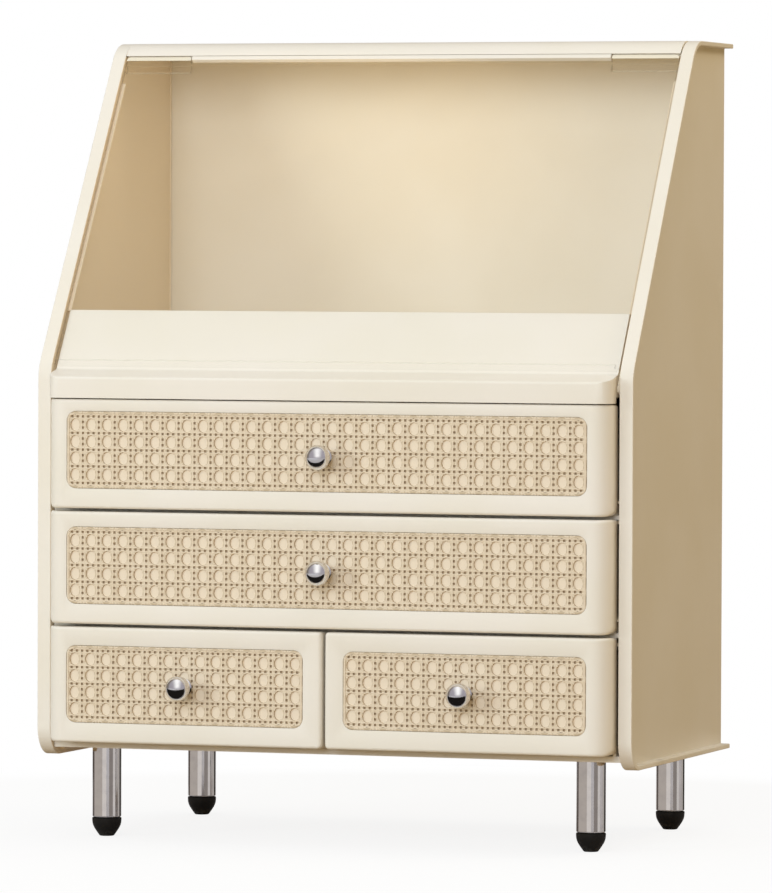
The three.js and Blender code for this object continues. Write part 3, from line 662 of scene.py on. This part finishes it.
def cane_panel(drawer, eyes):
    """The weave, cut to a rounded field and set in a plain border, as one piece."""
    low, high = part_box(f"{drawer}_cane_panel")
    middle = ((low[0] + high[0]) / 2, (low[2] + high[2]) / 2)
    half_x, half_z = (high[0] - low[0]) / 2, (high[2] - low[2]) / 2
    pitch_x = 2 * half_x / eyes
    cell = cane_cell(pitch_x, PITCH_UP)
    mesh = evaluated_mesh(f"{drawer}_cane", WEAVE_TREE, {
        "Cell": cell, "Columns": eyes + 1, "Rows": WEAVE_ROWS, "Pitch Across": pitch_x,
        "Pitch Up": PITCH_UP, "Middle": (middle[0], FRONT_FACE + WEAVE_DEPTH, middle[1]), "Finish": CANE})
    bpy.data.objects.remove(cell)
    bm = bmesh.new()
    bm.from_mesh(mesh)
    edge_x, edge_z = half_x - FIELD_INSET, half_z - FIELD_INSET
    cuts = [((0, 1), (0, edge_z)), ((0, -1), (0, -edge_z)), ((1, 0), (edge_x, 0)), ((-1, 0), (-edge_x, 0))]
    for sx in (-1, 1):
        for sz in (-1, 1):
            hub = Vector((sx * (edge_x - FIELD_ROUNDING), sz * (edge_z - FIELD_ROUNDING)))
            for a in (math.radians(22.5), math.radians(45), math.radians(67.5)):
                way = Vector((sx * math.cos(a), sz * math.sin(a)))
                cuts.append((way, hub + way * FIELD_ROUNDING))
    for way, spot in cuts:
        bmesh.ops.bisect_plane(
            bm, geom=bm.verts[:] + bm.edges[:] + bm.faces[:], dist=0.001 * MM,
            plane_co=(middle[0] + spot[0], 0, middle[1] + spot[1]), plane_no=(way[0], 0, way[1]),
            clear_outer=True)
    weave = bm.loops.layers.uv.get("weave") or bm.loops.layers.uv.new("weave")
    phase = 0.5 if eyes % 2 else 0.0

    border = []
    for inset, depth, radius in CANE_BORDER_MM:
        points = ring_points(low[0] + inset * MM, high[0] - inset * MM, low[2] + inset * MM,
                             high[2] - inset * MM, (radius * MM,) * 4)
        border.append([bm.verts.new((x, FRONT_FACE + depth * MM, z)) for x, z in points])
    for first, second in zip(border, border[1:]):
        bridge(bm, first, second)
    bm.faces.new(border[-1])
    bm.faces.new(list(reversed(border[0])))
    for one in bm.faces:
        for corner in one.loops:
            x, _, z = corner.vert.co
            corner[weave].uv = ((x - middle[0]) / pitch_x + phase, (z - middle[1]) / PITCH_UP)
    bmesh.ops.recalc_face_normals(bm, faces=bm.faces)
    # The weave is an open sheet inside the border, so its flat faces are turned to the front here.
    plate_rear = FRONT_FACE + 1.25 * MM
    for one in bm.faces:
        if one.normal.y > 0.9 and one.calc_center_median().y < plate_rear:
            one.normal_flip()
    finished = bpy.data.meshes.new(f"{drawer}_cane")
    bm.to_mesh(finished)
    bm.free()
    finished_piece(f"{drawer}_cane", finished, CANE, drawer,
                   [f"{drawer}_cane_panel"], angle=35)


for drawer, eyes in (("top_drawer", 32), ("middle_drawer", 32), ("left_drawer", 15), ("right_drawer", 15)):
    cane_panel(drawer, eyes)

# Knobs: a polished chrome ball on a short neck and a small base, turned and plated, and
# held from behind through the front by a screw.


def chrome_plate(name, softness):
    """Bright plating with the faintest haze of handling."""
    material, start, shader = new_finish(name, metallic=1.0)
    haze = millimetres(start).noise(5, 3.0)
    feed(shader,
         base_color=haze.between(0.35, 0.75).blend((0.86, 0.86, 0.87, 1), (0.78, 0.78, 0.80, 1)),
         roughness=softness + 0.05 * haze)
    return material


KNOB_CHROME = chrome_plate("knob_chrome", 0.085)
KNOB_NECK, KNOB_FOOT = 2.8 * MM, 4.2 * MM


def turned(bm, profile, centre, axis, sides=64):
    """A closed solid of revolution from (radius, distance) points that start and end on the axis."""
    along = Vector(axis)
    first = Vector((1, 0, 0))
    second = along.cross(first)
    rings = []
    for radius, distance in profile:
        base = Vector(centre) + along * distance
        if radius < 1e-7:
            rings.append([bm.verts.new(base)])
            continue
        rings.append([bm.verts.new(base + (first * math.cos(a) + second * math.sin(a)) * radius)
                      for a in (2 * math.pi * k / sides for k in range(sides))])
    for low, high in zip(rings, rings[1:]):
        if len(low) == 1:
            for k in range(sides):
                bm.faces.new((low[0], high[k - 1], high[k]))
        elif len(high) == 1:
            for k in range(sides):
                bm.faces.new((low[k - 1], high[0], low[k]))
        else:
            bridge(bm, low, high)


for drawer in DRAWERS:
    low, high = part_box(f"{drawer}_knob")
    x, z = (low[0] + high[0]) / 2, (low[2] + high[2]) / 2
    ball = (high[0] - low[0]) / 2
    reach = FRONT_FACE - low[1] - ball
    profile = [(0, -0.05 * MM), (KNOB_FOOT - 0.2 * MM, -0.05 * MM), (KNOB_FOOT, 0.15 * MM),
               (KNOB_FOOT, 0.5 * MM), (KNOB_FOOT - 0.3 * MM, 0.85 * MM),
               (KNOB_NECK + 0.3 * MM, 1.2 * MM), (KNOB_NECK, 1.6 * MM)]
    first = math.asin(KNOB_NECK / ball)
    turns = [first + (math.pi - first) * k / 28 for k in range(28)]
    profile += [(ball * math.sin(a), reach - ball * math.cos(a)) for a in turns]
    profile.append((0, reach + ball))
    bm = bmesh.new()
    turned(bm, profile, (x, FRONT_FACE, z), (0, -1, 0))
    finished_piece(f"{drawer}_knob_ball", bm, KNOB_CHROME, drawer, [f"{drawer}_knob"])

# Legs and foot tips: straight chrome tubes under the base, each with a black moulded tip that
# plugs into its lower end and tapers to a small flat foot.


def black_tip_finish():
    """Black moulded plastic, a little worn and dusty towards the foot."""
    material, start, shader = new_finish("black_tip_plastic", specular_ior_level=0.22)
    place = millimetres(start)
    rub = place.noise(1.5, 3.0)
    dust = (1 - place.axis(2).between(0.5, 4.0)) * rub.between(0.4, 0.7)
    feed(shader,
         base_color=dust.blend((0.010, 0.009, 0.008, 1), (0.045, 0.042, 0.038, 1)),
         roughness=0.34 + 0.18 * rub,
         normal=rub.relief(0.1 * MM, 0.4))
    return material


LEG_CHROME = chrome_plate("leg_chrome", 0.05)
BLACK_TIP = black_tip_finish()
CORNERS = ("front_left", "front_right", "rear_left", "rear_right")
TIP_PROFILE_MM = ((0, 0), (3.2, 0), (3.6, 0.25), (5.0, 2.2), (6.1, 3.9), (6.7, 5.2), (7.0, 6.4),
                  (7.15, 8.2), (7.05, 8.8), (6.65, 9), (5, 9), (5, 10), (0, 10))

for corner in CORNERS:
    low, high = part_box(f"leg_{corner}")
    x, y, radius = (low[0] + high[0]) / 2, (low[1] + high[1]) / 2, (high[0] - low[0]) / 2
    foot, top = low[2], high[2]
    bm = bmesh.new()
    turned(bm, [(0, foot), (radius - 0.6 * MM, foot), (radius - 0.15 * MM, foot + 0.12 * MM),
                (radius, foot + 0.5 * MM), (radius, foot + 0.7 * MM), (radius, top - 0.5 * MM),
                (radius, top), (0, top)], (x, y, 0), (0, 0, 1))
    finished_piece(f"leg_tube_{corner}", bm, LEG_CHROME, "case", [f"leg_{corner}"])
    bm = bmesh.new()
    turned(bm, [(r * MM, z * MM) for r, z in TIP_PROFILE_MM], (x, y, 0), (0, 0, 1))
    finished_piece(f"leg_tip_{corner}", bm, BLACK_TIP, "case", [f"foot_tip_{corner}"])

# Screws: zinc-plated pan heads with a cross recess, one behind each knob and one over each leg.
# Geometry Nodes set one head, drawn with its recess, on the points where screws are.


def zinc_plate():
    """Dull zinc plating with a cloudy bloom."""
    material, start, shader = new_finish("zinc_plate", metallic=1.0)
    bloom = millimetres(start).noise(1.2, 3.0)
    feed(shader,
         base_color=bloom.between(0.3, 0.7).blend((0.62, 0.63, 0.64, 1), (0.52, 0.52, 0.50, 1)),
         roughness=0.28 + 0.15 * bloom)
    return material


ZINC = zinc_plate()
HEAD_SIDES = 16
HEAD_PROFILE = ((1.0, 0.0), (1.0, 0.28), (0.9, 0.45), (0.62, 0.56))
SHANK_PROFILE = ((0.42, 0), (0.42, -2.0), (0.2, -2.2))
CROSS_LONG, CROSS_HALF = 0.52, 0.12
CROSS_TOP, CROSS_FLOOR, CROSS_TAPER = 0.58, 0.3, 0.8


def screw_mesh():
    """A pan head of unit radius and its shank along -z, with four slots meeting in the middle."""
    bm = bmesh.new()

    def circles(profile):
        turns = [2 * math.pi * k / HEAD_SIDES for k in range(HEAD_SIDES)]
        return [[bm.verts.new((r * math.cos(a), r * math.sin(a), z)) for a in turns] for r, z in profile]

    head = circles(HEAD_PROFILE)
    for low, high in zip(head, head[1:]):
        bridge(bm, low, high)
    cross = []
    for sx, sy in ((1, 1), (-1, 1), (-1, -1), (1, -1)):
        arm = [(sx * CROSS_LONG, sy * CROSS_HALF), (sx * CROSS_HALF, sy * CROSS_HALF),
               (sx * CROSS_HALF, sy * CROSS_LONG)]
        cross += arm if sx == sy else arm[::-1]
    top = [bm.verts.new((x, y, CROSS_TOP)) for x, y in cross]
    low = [bm.verts.new((x * CROSS_TAPER, y * CROSS_TAPER, CROSS_FLOOR)) for x, y in cross]
    edges = [bm.edges.new((top[k - 1], top[k])) for k in range(len(top))]
    edges += [bm.edges.get((head[-1][k - 1], head[-1][k])) for k in range(HEAD_SIDES)]
    bmesh.ops.triangle_fill(bm, use_beauty=True, use_dissolve=False, edges=edges)
    bridge(bm, top, low)
    bm.faces.new(low)
    shank = circles(SHANK_PROFILE)
    for one, other in zip([head[0]] + shank, shank):
        bridge(bm, one, other)
    bm.faces.new(shank[-1])
    bmesh.ops.recalc_face_normals(bm, faces=bm.faces)
    mesh = bpy.data.meshes.new("screw")
    bm.to_mesh(mesh)
    bm.free()
    return mesh


SCREW_TREE, given, add, end = nodes_tree("screws", {
    "Screw": "NodeSocketObject", "Head Radius": "NodeSocketFloat", "Turn": "NodeSocketVector",
    "Finish": "NodeSocketMaterial",
})
screw_shape = add("GeometryNodeObjectInfo", {}, {"Object": given["Screw"]})["Geometry"]
placed = add("GeometryNodeInstanceOnPoints", {}, {
    "Points": given["Geometry"], "Instance": screw_shape,
    "Rotation": given["Turn"], "Scale": given["Head Radius"]})
end(placed[0], given["Finish"])

screw = bpy.data.objects.new("screw", screw_mesh())
bpy.context.scene.collection.objects.link(screw)


def screws(name, places, radius, turn, body, nodes):
    """Screws at these places, as one piece that stands for their nodes."""
    points = bpy.data.meshes.new(f"{name}_points")
    points.from_pydata(places, [], [])
    mesh = evaluated_mesh(name, SCREW_TREE, {
        "Screw": screw, "Head Radius": radius, "Turn": turn, "Finish": ZINC}, points)
    finished_piece(name, mesh, ZINC, body, nodes)


for drawer in DRAWERS:
    low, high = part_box(f"{drawer}_knob_screw")
    screws(f"{drawer}_screw", [((low[0] + high[0]) / 2, high[1] - 1.75 * MM, (low[2] + high[2]) / 2)],
           2.95 * MM, (-math.pi / 2, 0, 0), drawer, [f"{drawer}_knob_screw"])
leg_boxes = [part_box(f"leg_screw_{corner}") for corner in CORNERS]
screws("leg_screws", [((a[0] + b[0]) / 2, (a[1] + b[1]) / 2, b[2] - 2.1 * MM) for a, b in leg_boxes],
       3.65 * MM, (0, 0, 0), "case", [f"leg_screw_{corner}" for corner in CORNERS])
bpy.data.objects.remove(screw)

# Clear lid: one sheet of clear plastic, 2 mm thick, with a lip along its lower edge and a
# rolled barrel and pin on each of its two hinge tabs, snapped into the side panels.
TAB_FOOT = on_slope(13.9 * MM, 2.8 * MM)[1] + 4.3 * MM


def show(material, shade):
    """Sends a wire that carries a shader to the material's output."""
    out = next(n for n in material.node_tree.nodes if n.type == "OUTPUT_MATERIAL")
    material.node_tree.links.new(shade.socket, out.inputs["Surface"])
    return material


def clear_sheet():
    """Clear plastic: light goes through, and its gloss, a trace of tint, a painted shade on its cut
    side edges and the cream pads on its two hinge tabs show."""
    material, start, shader = new_finish("clear_sheet", specular_ior_level=0.5)
    place = millimetres(start)
    smear = place.noise(40, 3.0)
    glance = start.node("ShaderNodeFresnel", {}, {"IOR": 1.45})
    # The cut side edges are painted in shade: a brown colour and more opacity stand for the dark line along
    # the lid's sides.
    rim = start.node("ShaderNodeTexCoord", {}, {}, "Normal").axis(0).math("ABSOLUTE").between(0.5, 0.95)
    tab = place.axis(2).between(TAB_FOOT / MM, TAB_FOOT / MM + 0.3)
    feed(shader,
         base_color=rim.blend(linear(236, 228, 208), linear(150, 126, 92)),
         roughness=0.05 + 0.06 * smear)
    clear = start.node("ShaderNodeBsdfTransparent", {}, {"Color": (0.995, 0.995, 0.993, 1)})
    share = (0.004 + 0.12 * glance + 0.3 * rim).math("MAXIMUM", 0.96 * tab)
    return show(material, start.node("ShaderNodeMixShader", {}, {
        0: share, 1: clear, 2: Wire(material.node_tree, shader.outputs[0])}))


CLEAR = clear_sheet()
finished_piece("dust_lid_sheet", merged_mesh("dust_lid", "dust_lid_sheet"), CLEAR, "lid",
               ["dust_lid"], 0.35 * MM)

# Studio: a plain pale floor that fades into a white surround, and an even surround of light.
# Metal mirrors a darker floor and a grey surround with one pale strip in front instead, so that
# the chrome has contrast.


def seen_by(start):
    """Wires that are 1 for what the camera sees, for what gloss mirrors, and for both and glass."""
    camera_ray, glossy_ray, glass_ray = (
        start.node("ShaderNodeLightPath", {}, {}, name)
        for name in ("Is Camera Ray", "Is Glossy Ray", "Is Transmission Ray"))
    return camera_ray, glossy_ray, (camera_ray + glossy_ray + glass_ray).math("MINIMUM", 1.0)


def studio_floor():
    """A matte floor that keeps the object's shadow near it and is white further away."""
    material, start, shader = new_finish("studio_floor", roughness=0.9, specular_ior_level=0.0)
    camera_ray, glossy_ray, direct = seen_by(start)
    place = start.node("ShaderNodeTexCoord", {}, {}, "Object")
    away = start.node("ShaderNodeVectorMath", {"operation": "LENGTH"}, {0: place}, "Value")
    tone = direct.blend((0.47, 0.35, 0.20, 1), (0.95, 0.95, 0.95, 1))
    feed(shader, base_color=glossy_ray.blend(tone, (0.50, 0.48, 0.50, 1)))
    whiteness = (away.between(0.14, 0.45) * direct * (1 - glossy_ray)).math("MAXIMUM", 0.86 * camera_ray)
    white = start.node("ShaderNodeEmission", {}, {"Color": (1, 1, 1, 1), "Strength": 1.0})
    return show(material, start.node("ShaderNodeMixShader", {}, {
        0: whiteness, 1: Wire(material.node_tree, shader.outputs[0]), 2: white}))


bpy.ops.mesh.primitive_plane_add(size=14)
floor = bpy.context.active_object
floor.name = "studio_floor"
floor.data.materials.append(studio_floor())

world = bpy.data.worlds.new("studio")
bpy.context.scene.world = world
world.use_nodes = True
start = Wire(world.node_tree)
_, glossy_ray, direct = seen_by(start)
way = start.node("ShaderNodeTexCoord", {}, {}, "Generated")
aside, ahead = (
    start.node("ShaderNodeVectorMath", {"operation": "DOT_PRODUCT"}, {0: way, 1: along}, "Value")
    for along in ((0.948, 0.319, 0), (0.319, -0.948, 0.2)))
low_light = way.axis(0).between(-0.1, 0.8).blend((0.46, 0.45, 0.43, 1), (0.46, 0.325, 0.10, 1))
surround = way.axis(2).between(0.1, 0.95).blend(low_light, (0.80, 0.79, 0.77, 1))
in_front = ahead.between(-0.1, 0.3)
strip = in_front * way.axis(2).between(-0.15, 0.35) * (1 - aside.math("ABSOLUTE").between(0.02, 0.72))
grey = in_front.blend((0.22, 0.19, 0.16, 1), (0.40, 0.37, 0.40, 1))
mirrored = strip.blend(grey, (1.15, 1.13, 1.1, 1))
tint = glossy_ray.blend(direct.blend(surround, (1, 1, 1, 1)), mirrored)
background = next(n for n in world.node_tree.nodes if n.type == "BACKGROUND")
world.node_tree.links.new(tint.socket, background.inputs["Color"])
background.inputs["Strength"].default_value = 1.0

# Lamps: three large soft ones at the left, in front and low at the right, and a faint small one
# inside the compartment, which the lid would otherwise leave dull. Gloss doesn't mirror them.
LAMP_AIM = Vector((0, 0, 0.2))
INSIDE_PLACE, INSIDE_WAY = (-0.02, 0.003, 0.34), Vector((0.3, -0.95, 0))


def add_lamp(name, place, way, power, colour):
    """An area lamp at a place, which shines against this way."""
    lamp = bpy.data.lights.new(name, "AREA")
    lamp.energy, lamp.color = power, colour
    holder = bpy.data.objects.new(name, lamp)
    bpy.context.scene.collection.objects.link(holder)
    holder.location = place
    holder.rotation_euler = way.to_track_quat("Z", "Y").to_euler()
    holder.visible_glossy = False
    return lamp, holder


def soft_lamp(name, azimuth, elevation, distance, size, power, colour):
    """A round lamp that looks at the middle of the organizer."""
    a, e = math.radians(azimuth), math.radians(elevation)
    way = Vector((math.sin(a) * math.cos(e), -math.cos(a) * math.cos(e), math.sin(e)))
    lamp, _ = add_lamp(name, LAMP_AIM + way * distance, way, power, colour)
    lamp.shape, lamp.size = "DISK", size


soft_lamp("key", -42, 9, 2.4, 0.8, 15.4, (0.83, 0.92, 0.94))
soft_lamp("front", 2, 16, 2.6, 1.4, 28, (0.79, 0.88, 1.0))
soft_lamp("right", 100, 40, 0.9, 0.3, 1.2, (1.0, 0.84, 0.60))
inside, holder = add_lamp("inside", INSIDE_PLACE, INSIDE_WAY, 0.021, (1.0, 0.78, 0.48))
inside.shape, inside.size, inside.size_y = "RECTANGLE", 0.14, 0.05
holder.visible_camera = holder.visible_transmission = False

# Reflection cards: plain upright and lying cards that only the chrome mirrors. A ring of them
# round each leg gives it bands, and dark ones at the sides and under the knobs edge the balls.
VIEW_AZIMUTH = math.radians(18.60)
LEG_CARD_AWAY, LEG_CARD_HEIGHT = 42 * MM, 45 * MM
LEG_BANDS = ((-0.93, -0.82, (0.10, 0.08, 0.07, 1)), (-0.82, -0.28, (0.44, 0.39, 0.35, 1)),
             (-0.28, -0.02, (0.66, 0.61, 0.57, 1)), (0.16, 0.4, (0.25, 0.22, 0.20, 1)),
             (0.4, 0.55, (0.60, 0.56, 0.53, 1)), (0.72, 0.84, (0.42, 0.38, 0.35, 1)),
             (0.84, 0.94, (0.015, 0.012, 0.01, 1)))


def reflection_card(name, corners, colour):
    """A card that shows only from its front, and only in the gloss of the object."""
    mesh = bpy.data.meshes.new(name)
    mesh.from_pydata(corners, [], [(0, 1, 2, 3)])
    card, start, shader = new_finish(name)
    card.node_tree.nodes.remove(shader)
    glow = start.node("ShaderNodeEmission", {}, {"Color": colour, "Strength": 1.0})
    nothing = start.node("ShaderNodeBsdfTransparent")
    rear = start.node("ShaderNodeNewGeometry", {}, {}, "Backfacing")
    mesh.materials.append(show(card, start.node("ShaderNodeMixShader", {}, {0: rear, 1: glow, 2: nothing})))
    piece = bpy.data.objects.new(name, mesh)
    bpy.context.scene.collection.objects.link(piece)
    for ray in ("camera", "diffuse", "transmission", "volume_scatter", "shadow"):
        setattr(piece, f"visible_{ray}", False)


def upright_card(name, start, stop, height, colour):
    """A card that stands on the floor. It shows on the side from which start is at the right."""
    reflection_card(name, [(*start, 0), (*stop, 0), (*stop, height), (*start, height)], colour)


# A dark lying card, a painted reflection that only gloss sees, darkens the lower half of the knobs' chrome.
knob_card_front, knob_card_rear, knob_card_level = FRONT_FACE - 0.15, FRONT_FACE - 4 * MM, 42 * MM
reflection_card("dark_table", [(-0.8, knob_card_front, knob_card_level), (0.8, knob_card_front, knob_card_level),
                               (0.8, knob_card_rear, knob_card_level), (-0.8, knob_card_rear, knob_card_level)],
                (0.012, 0.010, 0.009, 1))
for corner in CORNERS:
    low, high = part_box(f"leg_{corner}")
    x, y = (low[0] + high[0]) / 2, (low[1] + high[1]) / 2
    for first, last, colour in LEG_BANDS:
        turns = [VIEW_AZIMUTH + 2 * math.asin(share) for share in (last, first)]
        spots = [(x + LEG_CARD_AWAY * math.sin(a), y - LEG_CARD_AWAY * math.cos(a)) for a in turns]
        upright_card(f"leg_band_{corner}", spots[0], spots[1], LEG_CARD_HEIGHT, colour)
upright_card("dark_card_right", (0.16, 0.3), (0.6, 0.3), 0.5, (0.05, 0.035, 0.02, 1))
upright_card("dark_card_left", (-0.55, 0.2), (-0.25, 0.2), 0.5, (0.03, 0.025, 0.02, 1))

# Camera: a long lens level with the middle of the case, turned a little to its right side, with
# a touch of roll and the small shift that frames the organizer.
VIEW_ELEVATION, VIEW_ROLL = math.radians(1.52), math.radians(0.22)
VIEW_AIM, VIEW_DISTANCE = Vector((0, 17.85 * MM, 200 * MM)), 3.377
FRAME_HEIGHT, FOCAL_LENGTH = 893, 6907
back = Vector((math.sin(VIEW_AZIMUTH) * math.cos(VIEW_ELEVATION),
               -math.cos(VIEW_AZIMUTH) * math.cos(VIEW_ELEVATION), math.sin(VIEW_ELEVATION)))
across = Vector((math.cos(VIEW_AZIMUTH), math.sin(VIEW_AZIMUTH), 0))
upward = back.cross(across)
right = math.cos(VIEW_ROLL) * across + math.sin(VIEW_ROLL) * upward
up = math.cos(VIEW_ROLL) * upward - math.sin(VIEW_ROLL) * across
spot = VIEW_AIM + back * VIEW_DISTANCE
camera_data = bpy.data.cameras.new("camera")
camera = bpy.data.objects.new("camera", camera_data)
bpy.context.scene.collection.objects.link(camera)
camera.matrix_world = Matrix(((right.x, up.x, back.x, spot.x), (right.y, up.y, back.y, spot.y),
                              (right.z, up.z, back.z, spot.z), (0, 0, 0, 1)))
camera_data.sensor_width = 36
camera_data.lens = FOCAL_LENGTH * camera_data.sensor_width / FRAME_HEIGHT
camera_data.shift_x = -5.4 / FRAME_HEIGHT
camera_data.shift_y = -22.4 / FRAME_HEIGHT
camera_data.clip_end = 50
bpy.context.scene.camera = camera
bpy.context.scene.view_settings.view_transform = "Standard"
